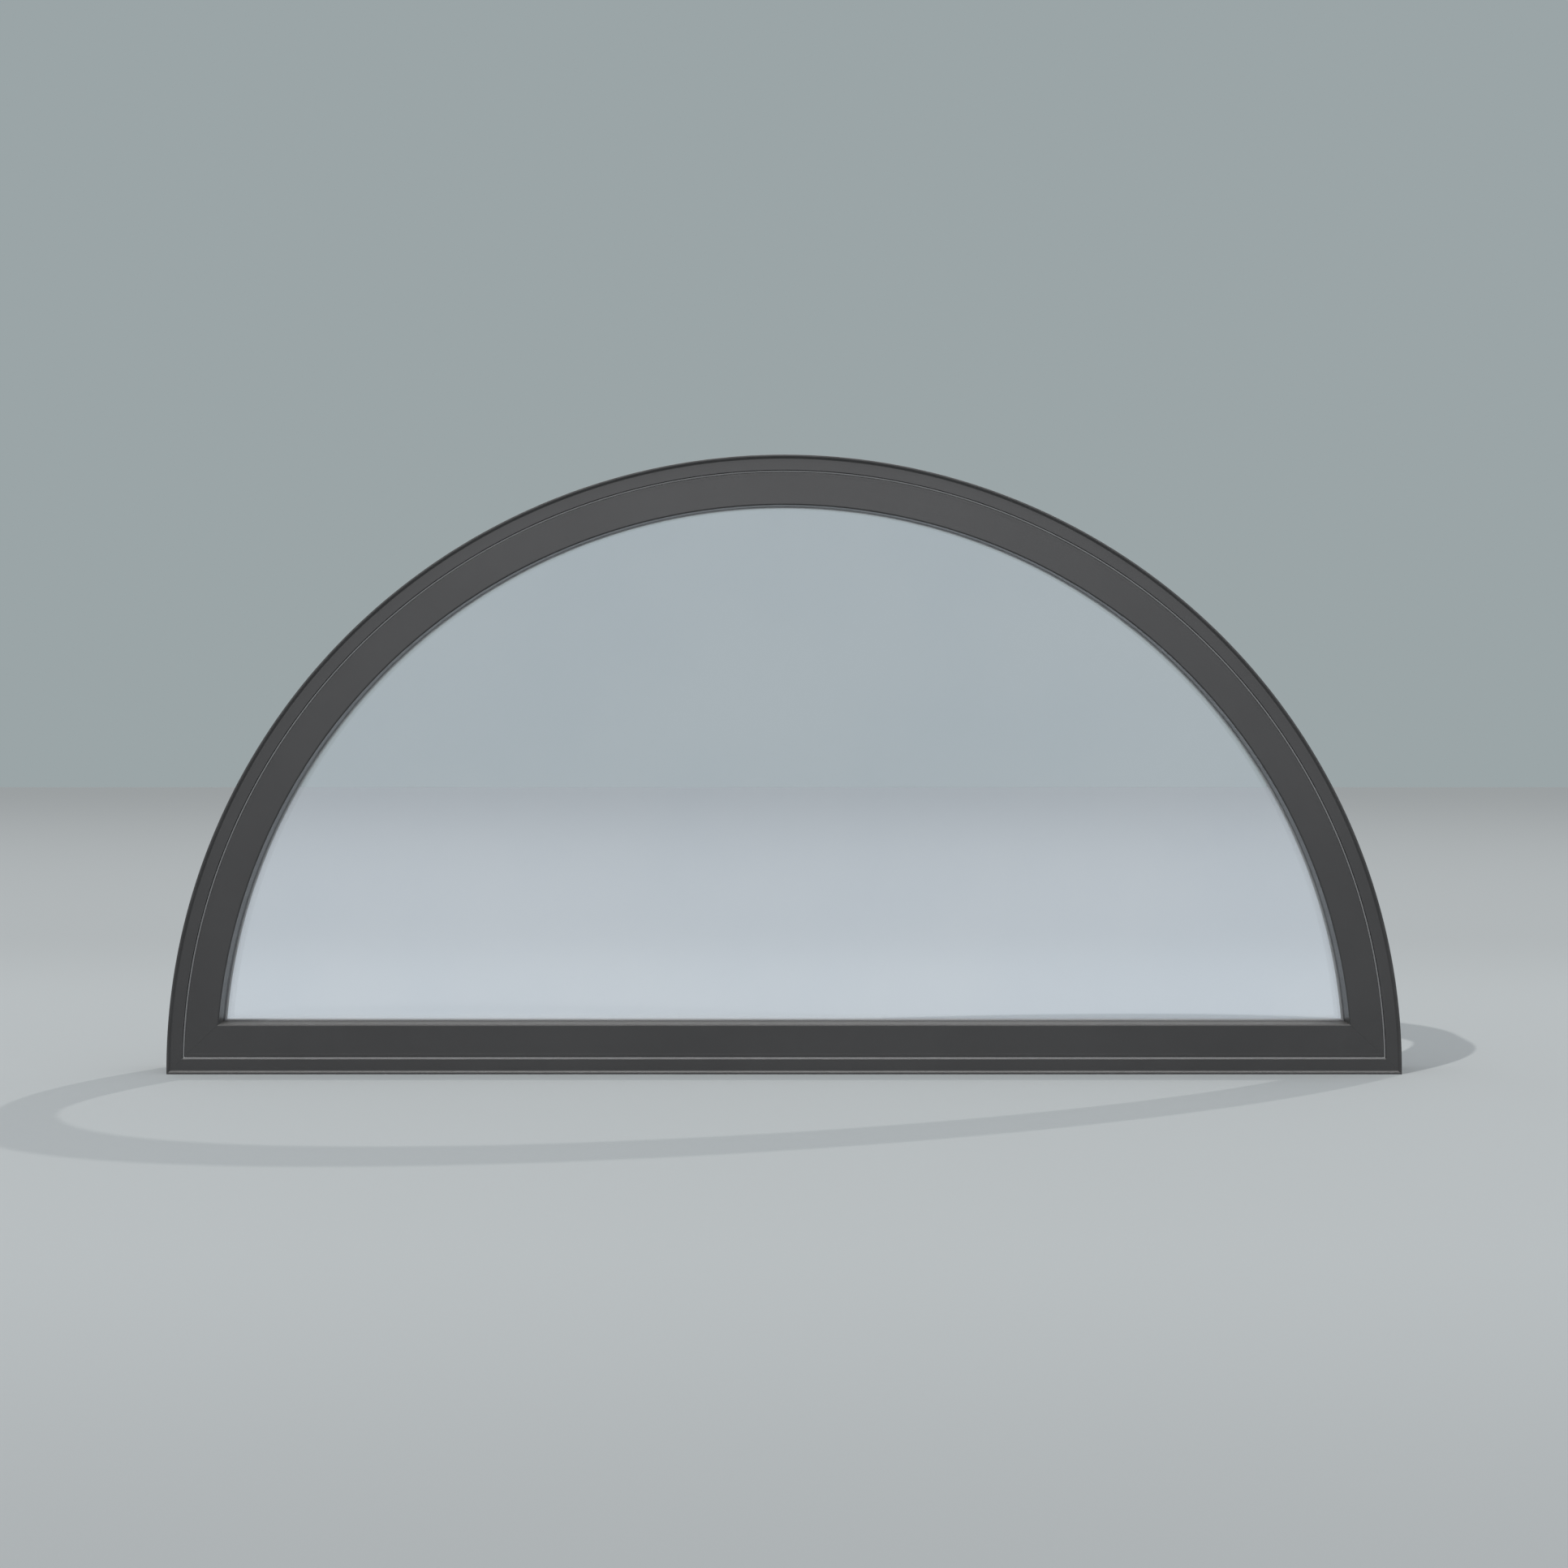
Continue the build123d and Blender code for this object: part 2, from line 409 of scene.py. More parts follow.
class Shader:
    """The node tree of a material, a group or the world, with short ways to add and join nodes."""

    def __init__(self, tree: bpy.types.NodeTree) -> None:
        """Takes an empty tree."""
        self.tree = tree

    def add(self, kind: str, **values: object) -> bpy.types.Node:
        """Adds a node.

        Args:
            kind: The node's type without its "ShaderNode" prefix.
            values: Properties of the node, or its input sockets by name with underscores for spaces.

        Returns:
            The new node.
        """
        node = self.tree.nodes.new("ShaderNode" + kind)
        for key, value in values.items():
            if hasattr(node, key):
                setattr(node, key, value)
            else:
                node.inputs[key.replace("_", " ")].default_value = value
        return node

    def join(self, source: bpy.types.NodeSocket, target: bpy.types.NodeSocket) -> None:
        """Links an output to an input."""
        self.tree.links.new(source, target)

    def maths(self, operation: str, first: object, second: object = 0.0) -> bpy.types.NodeSocket:
        """Adds a Math node.

        Args:
            operation: What it does.
            first: A socket or a number.
            second: A socket or a number.

        Returns:
            Its output.
        """
        node = self.add("Math", operation=operation)
        for slot, value in enumerate((first, second)):
            if isinstance(value, bpy.types.NodeSocket):
                self.join(value, node.inputs[slot])
            else:
                node.inputs[slot].default_value = value
        return node.outputs[0]

    def noise(self, scale: bpy.types.NodeSocket, **values: float) -> bpy.types.Node:
        """Adds noise over the object's own coordinates, with further values as add takes them."""
        node = self.add("TexNoise", **values)
        self.join(self.add("TexCoord").outputs["Object"], node.inputs["Vector"])
        self.join(scale, node.inputs["Scale"])
        return node

    def ramp(
        self, value: bpy.types.NodeSocket, source: Pair, target: Pair = WHOLE
    ) -> bpy.types.NodeSocket:
        """Maps one range of a value smoothly to another.

        Args:
            value: What is mapped.
            source: The range that it is read in.
            target: The range that comes out.

        Returns:
            The mapped value.
        """
        node = self.add("MapRange", interpolation_type="SMOOTHSTEP")
        self.join(value, node.inputs["Value"])
        names = ("From Min", "From Max", "To Min", "To Max")
        for name, number in zip(names, (*source, *target)):
            node.inputs[name].default_value = number
        return node.outputs["Result"]

    def blend(self, share: bpy.types.NodeSocket, first: object, second: object) -> bpy.types.NodeSocket:
        """Mixes two colours.

        Args:
            share: How much of the second.
            first: A socket or a colour.
            second: A socket or a colour.

        Returns:
            The mixed colour.
        """
        node = self.add("Mix", data_type="RGBA")
        self.join(share, node.inputs["Factor"])
        for number, colour in zip(MIX_INPUTS, (first, second)):
            if isinstance(colour, bpy.types.NodeSocket):
                self.join(colour, node.inputs[number])
            else:
                node.inputs[number].default_value = (*colour, 1)
        return node.outputs[MIX_OUTPUT]

    def effect(self, group: bpy.types.NodeTree, **values: float) -> bpy.types.NodeSocket:
        """Places a shared effect with this material's own values, and gives its output."""
        node = self.add("Group", node_tree=group)
        for key, value in values.items():
            node.inputs[key].default_value = value
        return node.outputs[0]


def cleared(owner: bpy.types.Material | bpy.types.World) -> Shader:
    """Empties the owner's own node tree, to start it."""
    owner.use_nodes = True
    owner.node_tree.nodes.clear()
    return Shader(owner.node_tree)


def new_group(
    name: str, inputs: Sequence[str], outputs: Sequence[str]
) -> tuple[Shader, bpy.types.Node, bpy.types.Node]:
    """Starts a shader group whose sockets are all numbers.

    Args:
        name: The group's name.
        inputs: Names of its inputs.
        outputs: Names of its outputs.

    Returns:
        Its shader, and its input and output nodes.
    """
    tree = bpy.data.node_groups.new(name, "ShaderNodeTree")
    for socket in inputs:
        tree.interface.new_socket(socket, in_out="INPUT", socket_type="NodeSocketFloat")
    for socket in outputs:
        tree.interface.new_socket(socket, in_out="OUTPUT", socket_type="NodeSocketFloat")
    shader = Shader(tree)
    return shader, tree.nodes.new("NodeGroupInput"), tree.nodes.new("NodeGroupOutput")


# Ranges of noise that the effects read: its middle, where an edge is rubbed, and where dust lies
NOISE_MIDDLE: Pair = (0.3, 0.7)
RUBBED_NOISE: Pair = (0.4, 0.7)
DUST_NOISE: Pair = (0.3, 0.75)

# Upward share of a face's normal from which dust stays on it, and the dust's least and full thickness
DUST_SLOPE: Pair = (0.35, 0.95)
DUST_THICKNESS: Pair = (0.55, 1.0)


@cache
def grain_group() -> bpy.types.NodeTree:
    """Fine unevenness that a coating or moulding has all over.

    Inputs: Scale, in grains a metre, and Sharpness, from 0 to 1. Output: Height, from 0 to 1.
    """
    shader, given, result = new_group("surface_grain", ("Scale", "Sharpness"), ("Height",))
    noise = shader.noise(given.outputs["Scale"], Detail=2.0)
    shader.join(given.outputs["Sharpness"], noise.inputs["Roughness"])
    shader.join(noise.outputs[0], result.inputs["Height"])
    return shader.tree


@cache
def tone_group() -> bpy.types.NodeTree:
    """Slow change of tone over a long member.

    Inputs: Scale, in patches a metre. Output: Shade, from 0 to 1.
    """
    shader, given, result = new_group("slow_tone", ("Scale",), ("Shade",))
    noise = shader.noise(given.outputs["Scale"], Detail=3.0, Roughness=0.55)
    shader.join(shader.ramp(noise.outputs[0], NOISE_MIDDLE), result.inputs["Shade"])
    return shader.tree


@cache
def wear_group() -> bpy.types.NodeTree:
    """Rubbed outer corners, broken up along their length.

    Inputs: Amount, from 0 to 1, and Scale, in breaks a metre. Output: Mask, from 0 to 1.
    """
    shader, given, result = new_group("rubbed_edge", ("Amount", "Scale"), ("Mask",))
    edge = shader.add("Attribute", attribute_name=EDGE_ATTRIBUTE).outputs["Fac"]
    noise = shader.noise(given.outputs["Scale"], Detail=4.0, Roughness=0.7)
    broken = shader.maths("MULTIPLY", edge, shader.ramp(noise.outputs[0], RUBBED_NOISE))
    shader.join(shader.maths("MULTIPLY", broken, given.outputs["Amount"]), result.inputs["Mask"])
    return shader.tree


@cache
def dust_group() -> bpy.types.NodeTree:
    """Dust that settles on what faces up.

    Inputs: Amount, from 0 to 1, and Scale, in specks a metre. Output: Mask, from 0 to 1.
    """
    shader, given, result = new_group("settled_dust", ("Amount", "Scale"), ("Mask",))
    up = shader.add("SeparateXYZ")
    shader.join(shader.add("NewGeometry").outputs["Normal"], up.inputs[0])
    level = shader.ramp(up.outputs["Z"], DUST_SLOPE)
    specks = shader.noise(given.outputs["Scale"], Detail=5.0, Roughness=0.75)
    patchy = shader.ramp(specks.outputs[0], DUST_NOISE, DUST_THICKNESS)
    settled = shader.maths("MULTIPLY", level, patchy)
    shader.join(shader.maths("MULTIPLY", settled, given.outputs["Amount"]), result.inputs["Mask"])
    return shader.tree


# Finishes

DUST_COLOUR: Colour = (0.32, 0.31, 0.29)

# Range of grain that roughness follows
GRAIN_MIDDLE: Pair = (0.25, 0.75)


@dataclass(frozen=True)
class Finish(ABC):
    """A finish of the window, made once and shared by the pieces that have it."""

    name: str

    @abstractmethod
    def paint(self, shader: Shader, surface: bpy.types.Node) -> None:
        """Adds the finish's own nodes around the surface shader.

        Args:
            shader: The material's node tree.
            surface: Its Principled BSDF.
        """

    def shown(self, shader: Shader, surface: bpy.types.Node) -> bpy.types.NodeSocket:
        """What the material puts out: the surface shader alone."""
        return surface.outputs["BSDF"]

    @cache
    def material(self) -> bpy.types.Material:
        """Makes the material."""
        material = bpy.data.materials.new(self.name)
        shader = cleared(material)
        surface = shader.add("BsdfPrincipled")
        self.paint(shader, surface)
        shader.join(self.shown(shader, surface), shader.add("OutputMaterial").inputs["Surface"])
        return material


def add_bump(shader: Shader, surface: bpy.types.Node, height: bpy.types.NodeSocket, rise: float) -> None:
    """Bends the surface's normal by a height.

    Args:
        shader: The material's node tree.
        surface: Its Principled BSDF.
        height: The height, from 0 to 1.
        rise: What a height of 1 is, in metres.
    """
    bump = shader.add("Bump", Distance=rise)
    shader.join(height, bump.inputs["Height"])
    shader.join(bump.outputs["Normal"], surface.inputs["Normal"])


@dataclass(frozen=True)
class PowderCoat(Finish):
    """Dark satin powder coat on aluminium: fine orange peel, rubbed corners and a little dust.

    Attributes:
        colour: The coat where it is clean.
        paler: The coat where its tone is palest.
        rubbed: The coat on rubbed corners.
        roughness: Lowest and highest roughness over the surface.
        gloss_index: Index of refraction of its clear surface.
        tone_patches: Patches of tone a metre.
        wear: How much of the coat is rubbed on the corners.
        wear_breaks: Breaks in the rubbed corners a metre.
        peel: Orange peel, in grains a metre.
        peel_sharpness: How sharp the peel is, from 0 to 1.
        rise: Height of the orange peel, in metres.
        dust: How much dust lies on what faces up.
        dust_specks: Specks of it a metre.
    """

    colour: Colour = (0.0247, 0.0242, 0.0242)
    paler: Colour = (0.028, 0.0275, 0.0275)
    rubbed: Colour = (0.12, 0.12, 0.122)
    roughness: Pair = (0.30, 0.40)
    gloss_index: float = 1.45
    tone_patches: float = 9.0
    wear: float = 0.55
    wear_breaks: float = 45.0
    peel: float = 700.0
    peel_sharpness: float = 0.45
    rise: float = 0.00004
    dust: float = 0.17
    dust_specks: float = 150.0

    def paint(self, shader: Shader, surface: bpy.types.Node) -> None:
        """Adds tone, rubbed corners, dust and orange peel."""
        surface.inputs["IOR"].default_value = self.gloss_index
        shade = shader.effect(tone_group(), Scale=self.tone_patches)
        rubbed = shader.effect(wear_group(), Amount=self.wear, Scale=self.wear_breaks)
        dust = shader.effect(dust_group(), Amount=self.dust, Scale=self.dust_specks)
        coat = shader.blend(shade, self.colour, self.paler)
        worn = shader.blend(rubbed, coat, self.rubbed)
        shader.join(shader.blend(dust, worn, DUST_COLOUR), surface.inputs["Base Color"])
        grain = shader.effect(grain_group(), Scale=self.peel, Sharpness=self.peel_sharpness)
        gloss = shader.ramp(grain, GRAIN_MIDDLE, self.roughness)
        shader.join(shader.maths("ADD", gloss, dust), surface.inputs["Roughness"])
        add_bump(shader, surface, grain, self.rise)


@dataclass(frozen=True)
class Moulded(Finish):
    """Moulded or extruded plastic or rubber: matt, with a fine grain and fleck.

    Attributes:
        colour: The material itself.
        fleck: Its paler flecks.
        fleck_range: Range of the grain over which the flecks come in.
        fleck_patches: Least and full share of fleck over the slow patches.
        roughness: Lowest and highest roughness over the surface.
        tone_patches: Patches of tone a metre.
        grain: Grain, in grains a metre.
        grain_sharpness: How sharp the grain is, from 0 to 1.
        rise: Height of the grain, in metres.
        dust: How much dust lies on what faces up.
        dust_specks: Specks of it a metre.
    """

    colour: Colour = (0.02, 0.02, 0.02)
    fleck: Colour = (0.035, 0.035, 0.035)
    fleck_range: Pair = (0.45, 0.65)
    fleck_patches: Pair = (0.5, 1.0)
    roughness: Pair = (0.55, 0.7)
    tone_patches: float = 14.0
    grain: float = 1500.0
    grain_sharpness: float = 0.6
    rise: float = 0.00003
    dust: float = 0.3
    dust_specks: float = 80.0

    def paint(self, shader: Shader, surface: bpy.types.Node) -> None:
        """Adds fleck, dust and grain."""
        grain = shader.effect(grain_group(), Scale=self.grain, Sharpness=self.grain_sharpness)
        tone = shader.effect(tone_group(), Scale=self.tone_patches)
        dust = shader.effect(dust_group(), Amount=self.dust, Scale=self.dust_specks)
        patches = shader.ramp(tone, WHOLE, self.fleck_patches)
        spots = shader.maths("MULTIPLY", shader.ramp(grain, self.fleck_range), patches)
        base = shader.blend(spots, self.colour, self.fleck)
        shader.join(shader.blend(dust, base, DUST_COLOUR), surface.inputs["Base Color"])
        shader.join(shader.ramp(grain, GRAIN_MIDDLE, self.roughness), surface.inputs["Roughness"])
        add_bump(shader, surface, grain, self.rise)


@dataclass(frozen=True)
class FloatGlass(Finish):
    """Clear float glass with a faint tint, a slow waviness and a trace of dust in slow patches.

    Attributes:
        colour: Tint of the light that passes through.
        smeared: Tint where the trace of dust is thickest.
        smear_patches: Patches of that trace a metre.
        roughness: Lowest and highest roughness over the trace.
        index: Index of refraction.
        wave: Height of the waviness, in metres.
        waves: Waves a metre.
        wave_sharpness: How sharp they are, from 0 to 1.
    """

    colour: Colour = (0.995, 1.0, 1.0)
    smeared: Colour = (0.975, 0.985, 0.99)
    smear_patches: float = 3.0
    roughness: Pair = (0.0, 0.012)
    index: float = 1.7
    wave: float = 0.00002
    waves: float = 5.0
    wave_sharpness: float = 0.3

    def shown(self, shader: Shader, surface: bpy.types.Node) -> bpy.types.NodeSocket:
        """Glass to the eye, and clear to lamplight and to soft light from the window itself."""
        path = shader.add("LightPath")
        soft = shader.maths("MAXIMUM", path.outputs["Is Shadow Ray"], path.outputs["Is Diffuse Ray"])
        either = shader.add("MixShader")
        share, glass, clear = either.inputs
        shader.join(soft, share)
        shader.join(surface.outputs["BSDF"], glass)
        shader.join(shader.add("BsdfTransparent").outputs["BSDF"], clear)
        return either.outputs["Shader"]

    def paint(self, shader: Shader, surface: bpy.types.Node) -> None:
        """Adds the tint, the waviness and the trace of dust."""
        surface.inputs["Transmission Weight"].default_value = 1.0
        surface.inputs["IOR"].default_value = self.index
        smear = shader.effect(tone_group(), Scale=self.smear_patches)
        shader.join(shader.blend(smear, self.colour, self.smeared), surface.inputs["Base Color"])
        shader.join(shader.ramp(smear, WHOLE, self.roughness), surface.inputs["Roughness"])
        wave = shader.effect(grain_group(), Scale=self.waves, Sharpness=self.wave_sharpness)
        add_bump(shader, surface, wave, self.wave)


CHARCOAL = PowderCoat("charcoal_powder_coat")
POLYAMIDE = Moulded("black_polyamide")
GASKET = Moulded(
    "gasket_rubber",
    colour=(0.075, 0.075, 0.076),
    fleck=(0.09, 0.09, 0.091),
    roughness=(0.4, 0.52),
    dust=0.25,
)
# Joint seal: a real part, given a pale grey that stands in for the light reflected in the joint, a painted
# highlight
SEAL_GREY_PAINTED_HIGHLIGHT = Moulded(
    "seal_grey_painted_highlight",
    colour=(0.13, 0.13, 0.131),
    fleck=(0.16, 0.16, 0.161),
    roughness=(0.25, 0.36),
    dust=0.2,
)
SPACER_GREY = Moulded(
    "spacer_grey",
    colour=(0.38, 0.38, 0.385),
    fleck=(0.43, 0.43, 0.435),
    roughness=(0.45, 0.6),
    dust=0.0,
)
SEALANT = Moulded("edge_sealant", colour=(0.045, 0.045, 0.045), fleck=(0.055, 0.055, 0.055), dust=0.0)
BLOCK_RUBBER = Moulded("block_rubber", colour=(0.036, 0.036, 0.036), fleck=(0.046, 0.046, 0.046), dust=0.0)
PACKER_PLASTIC = Moulded(
    "packer_plastic", colour=(0.055, 0.055, 0.055), fleck=(0.07, 0.07, 0.07), dust=0.0
)
CLEAR_GLASS = FloatGlass("clear_float_glass")


def dress(piece: bpy.types.Object, finish: Finish) -> None:
    """Gives a piece its finish, in place of any material that it has."""
    piece.data.materials.clear()
    piece.data.materials.append(finish.material())


# Members


class Side(Enum):
    """Which part of the way round a member covers."""

    ARCH = "arch"
    ARCH_RIGHT = "arch_right"
    ARCH_LEFT = "arch_left"
    SILL = "sill"

    def run(self) -> Run:
        """The line that the member follows."""
        return {
            Side.ARCH: ArchRun(),
            Side.ARCH_RIGHT: ArchRun(steps=90, high=0.5),
            Side.ARCH_LEFT: ArchRun(steps=90, low=0.5),
            Side.SILL: SillRun(),
        }[self]


@dataclass(frozen=True)
class Member:
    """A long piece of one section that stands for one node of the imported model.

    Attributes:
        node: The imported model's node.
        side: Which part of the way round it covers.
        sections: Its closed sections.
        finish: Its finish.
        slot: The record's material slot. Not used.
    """

    node: str
    side: Side
    sections: tuple[Section, ...]
    finish: Finish
    slot: str

    def build(self) -> bpy.types.Object:
        """Sweeps the sections and puts the piece in the node's place."""
        maker = MeshMaker()
        for section in self.sections:
            maker.sweep(section, self.side.run())
        piece = maker.build(self.node + "_profile")
        dress(piece, self.finish)
        if self.finish in (CHARCOAL, SEAL_GREY_PAINTED_HIGHLIGHT):
            metal_pieces().objects.link(piece)
        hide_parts(self.node)
        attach(piece, BODY)
        return piece


@dataclass(frozen=True)
class Assembly(ABC):
    """A part of the window that is put together from members and other pieces."""

    @abstractmethod
    def pieces(self) -> Iterable[bpy.types.Object]:
        """Builds the pieces one after the other."""


def build_layers(
    part: str, bottom: str, outer: Section, strips: tuple[Section, Section], inner: Section
) -> Iterable[bpy.types.Object]:
    """Builds the arch and the bottom of a part's three layers.

    Args:
        part: The part's name, with which its nodes and slots start.
        bottom: The word for its bottom member.
        outer: Section of its outer shell.
        strips: Sections of its thermal break.
        inner: Section of its inner shell.

    Yields:
        The pieces.
    """
    for side, word in ((Side.ARCH, "arch"), (Side.SILL, bottom)):
        yield Member(f"{part}_outer_{word}", side, (outer,), CHARCOAL, f"{part}_outside").build()
        yield Member(f"{part}_thermal_break_{word}", side, strips, POLYAMIDE, "thermal_break").build()
        yield Member(f"{part}_inner_{word}", side, (inner,), CHARCOAL, f"{part}_inside").build()


@dataclass(frozen=True)
class OuterFrame(Assembly):
    """The frame fixed in the wall: outer shell, thermal break and inner shell."""

    rim_width: float = 2.0
    rim_step: Pair = (2.2, 0.4)
    rim_shoulder: Pair = (3.0, 0.7)
    rim_flank: Pair = (3.8, 1.5)
    rim_foot: Pair = (5.0, 2.1)
    face_edge: float = 5.6
    face: float = 2.0
    sight: float = 20.3
    bevel: float = 0.5
    rebate: float = 1.3
    rebate_back: float = 7.0
    leg_tip: float = 29.0
    leg_thickness: float = 3.0
    strip_front: float = 34.5
    strip_back: float = 53.5
    strip_thickness: float = 2.0
    lip_width: float = 1.5
    lip_reach: float = 1.5

    def outer_shell(self) -> Section:
        """Proud rim with a coved flank, flat face, and a bevelled rebate for the joint seal."""
        lip_back = self.strip_front + self.lip_reach
        rebate = self.sight - self.rebate
        outline = (
            (0, 0),
            (self.rim_width, 0),
            self.rim_step,
            self.rim_shoulder,
            self.rim_flank,
            self.rim_foot,
            (self.face_edge, self.face),
            (rebate - self.bevel, self.face),
            (rebate, self.face + self.bevel),
            (rebate, self.rebate_back),
            (self.sight, self.rebate_back),
            (self.sight, self.strip_front),
            (self.lip_width, self.strip_front),
            (self.lip_width, lip_back),
            (0, lip_back),
        )
        return Section(outline, (chamber(0, self.sight, self.rebate_back, self.strip_front),))

    def thermal_break(self) -> tuple[Section, Section]:
        """Two strips that join the shells."""
        front, back = self.strip_front, self.strip_back
        return strip_pair(self.lip_width, self.sight, self.strip_thickness, front, back)

    def inner_shell(self) -> Section:
        """One chamber, and the leg that laps over the sash."""
        lip_front = self.strip_back - self.lip_reach
        leg_front = DEPTH - self.leg_thickness
        outline = (
            (0, lip_front),
            (self.lip_width, lip_front),
            (self.lip_width, self.strip_back),
            (self.sight, self.strip_back),
            (self.sight, leg_front),
            (self.leg_tip, leg_front),
            (self.leg_tip, DEPTH),
            (0, DEPTH),
        )
        return Section(outline, (chamber(0, self.sight, self.strip_back, DEPTH),))

    def pieces(self) -> Iterable[bpy.types.Object]:
        """Builds the arch and the sill of each layer."""
        outer, strips, inner = self.outer_shell(), self.thermal_break(), self.inner_shell()
        yield from build_layers("frame", "sill", outer, strips, inner)


@dataclass(frozen=True)
class Sash(Assembly):
    """The sash that holds the glass: its two shells, thermal break, joint seal and seat gasket."""

    outer_edge: float = 21.5
    face: float = 3.0
    outer_round: float = 0.3
    band: float = 25.0
    band_rise: float = 0.04
    sight: float = 61.4
    bevel_width: float = 1.6
    bevel_drop: float = 1.0
    pocket: float = 48.5
    reveal_back: float = 35.0
    gasket_seat: float = 58.0
    leg_back: float = 38.0
    back: float = 84.0
    inner_corner: float = 0.6
    strip_front: float = 36.5
    strip_back: float = 55.5
    strip_thickness: float = 2.0
    seal_outer: float = 19.0
    seal_inner: float = 21.2
    seal_front: float = 3.0
    seal_crest: float = 20.2
    seal_fall: float = 0.2
    seal_slope: float = 1.3
    arch_seal_slopes: Pair = (0.15, 0.4)
    arch_seal_gap: float = 0.35
    seal_back: float = 6.9
    seal_corner: float = 0.3
    seat_outer: float = 23.0
    seat_inner: float = 28.0
    seat_back: float = 87.0
    seat_corner: float = 0.8

    def outer_shell(self) -> Section:
        """Broad face inside a slightly proud band, one chamber, and the leg that backs the glass."""
        main_face = self.face + self.band_rise
        outline = (
            (self.outer_edge, self.face + self.outer_round),
            (self.outer_edge + self.outer_round, self.face),
            (self.band, self.face),
            (self.band + self.band_rise, main_face),
            (self.sight - self.bevel_width, main_face),
            (self.sight, main_face + self.bevel_drop),
            (self.sight, self.reveal_back),
            (self.gasket_seat, self.reveal_back),
            (self.gasket_seat, self.leg_back),
            (self.pocket, self.leg_back),
            (self.pocket, self.strip_front),
            (self.outer_edge, self.strip_front),
        )
        return Section(outline, (chamber(self.outer_edge, self.sight, self.face, self.reveal_back),))

    def thermal_break(self) -> tuple[Section, Section]:
        """Two strips that join the shells. The inner one is the floor of the glazing pocket."""
        front, back = self.strip_front, self.strip_back
        return strip_pair(self.outer_edge, self.pocket, self.strip_thickness, front, back)

    def inner_shell(self) -> Section:
        """One chamber beside the glazing pocket."""
        box = (self.outer_edge, self.pocket, self.strip_back, self.back)
        return Section(rectangle(*box), (chamber(*box),), self.inner_corner)

    def arch_seal(self) -> Section:
        """Seal in the arch's joint, its face falling to both sides of a crest."""
        outer_slope, inner_slope = self.arch_seal_slopes
        outer = self.seal_outer + self.arch_seal_gap
        outline = (
            (outer, self.seal_front + outer_slope),
            (self.seal_crest, self.seal_front),
            (self.seal_inner, self.seal_front + inner_slope),
            (self.seal_inner, self.seal_back),
            (outer, self.seal_back),
        )
        return Section(outline, corner=self.seal_corner)

    def bottom_seal(self) -> Section:
        """Seal in the bottom joint, its face nearly upright below a crest and sloped up above it."""
        outline = (
            (self.seal_outer, self.seal_front),
            (self.seal_crest, self.seal_front + self.seal_fall),
            (self.seal_inner, self.seal_front + self.seal_slope),
            (self.seal_inner, self.seal_back),
            (self.seal_outer, self.seal_back),
        )
        return Section(outline, corner=self.seal_corner)

    def pieces(self) -> Iterable[bpy.types.Object]:
        """Builds the arch and the rail of each layer, then the seals."""
        outer, strips, inner = self.outer_shell(), self.thermal_break(), self.inner_shell()
        yield from build_layers("sash", "rail", outer, strips, inner)
        yield Member("joint_seal_arch", Side.ARCH, (self.arch_seal(),), SEAL_GREY_PAINTED_HIGHLIGHT, "joint_seal").build()
        yield Member("joint_seal_bottom", Side.SILL, (self.bottom_seal(),), SEAL_GREY_PAINTED_HIGHLIGHT, "joint_seal").build()
        seat_outline = rectangle(self.seat_outer, self.seat_inner, self.back, self.seat_back)
        seat = Section(seat_outline, corner=self.seat_corner)
        yield Member("seat_gasket_arch", Side.ARCH, (seat,), GASKET, "seat_gasket").build()
        yield Member("seat_gasket_bottom", Side.SILL, (seat,), GASKET, "seat_gasket").build()


